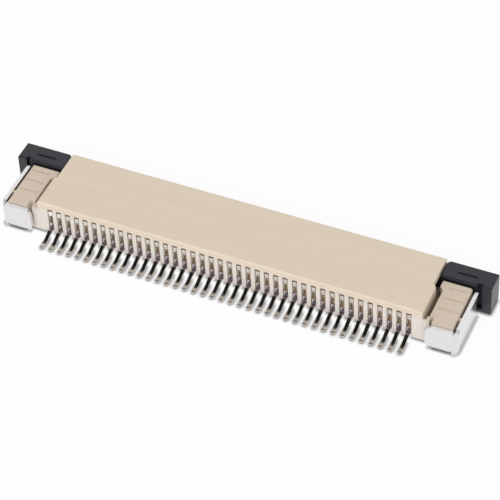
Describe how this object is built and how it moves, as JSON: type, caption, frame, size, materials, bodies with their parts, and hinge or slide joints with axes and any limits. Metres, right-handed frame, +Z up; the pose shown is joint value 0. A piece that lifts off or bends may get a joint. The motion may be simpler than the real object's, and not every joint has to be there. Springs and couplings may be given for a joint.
{
  "type": "fpc connector",
  "caption": "Right-angle surface-mount connector for a flat flexible cable, with rear solder tails, side fitting nails and a slide lock.",
  "frame": {"origin": "middle of the whole outline, on the board", "axes": "+X along the contact row, +Y towards the cable mouth, +Z up from the board"},
  "size_m": [0.026, 0.0052, 0.002],
  "materials": {
    "housing_resin": "moulded liquid crystal polymer, natural beige, fine matt",
    "slider_resin": "moulded glass-filled resin, black, fine matt",
    "tinned_contact": "stamped phosphor bronze with bright tin plating",
    "tinned_sheet": "stamped and bent sheet with bright tin plating"
  },
  "bodies": {
    "base": {"housing": "housing_resin", "nail_left": "tinned_sheet", "nail_right": "tinned_sheet", "contact_01": "tinned_contact", "contact_02": "tinned_contact", "contact_03": "tinned_contact", "contact_04": "tinned_contact", "contact_05": "tinned_contact", "contact_06": "tinned_contact", "contact_07": "tinned_contact", "contact_08": "tinned_contact", "contact_09": "tinned_contact", "contact_10": "tinned_contact", "contact_11": "tinned_contact", "contact_12": "tinned_contact", "contact_13": "tinned_contact", "contact_14": "tinned_contact", "contact_15": "tinned_contact", "contact_16": "tinned_contact", "contact_17": "tinned_contact", "contact_18": "tinned_contact", "contact_19": "tinned_contact", "contact_20": "tinned_contact", "contact_21": "tinned_contact", "contact_22": "tinned_contact", "contact_23": "tinned_contact", "contact_24": "tinned_contact", "contact_25": "tinned_contact", "contact_26": "tinned_contact", "contact_27": "tinned_contact", "contact_28": "tinned_contact", "contact_29": "tinned_contact", "contact_30": "tinned_contact", "contact_31": "tinned_contact", "contact_32": "tinned_contact", "contact_33": "tinned_contact", "contact_34": "tinned_contact", "contact_35": "tinned_contact", "contact_36": "tinned_contact", "contact_37": "tinned_contact", "contact_38": "tinned_contact", "contact_39": "tinned_contact", "contact_40": "tinned_contact"},
    "lock": {"slider": "slider_resin"}
  },
  "joints": [
    {"name": "slider_travel", "type": "slide", "parent": "base", "child": "lock", "axis": [0, 1, 0], "range_m": [0, 0.0012]}
  ]
}
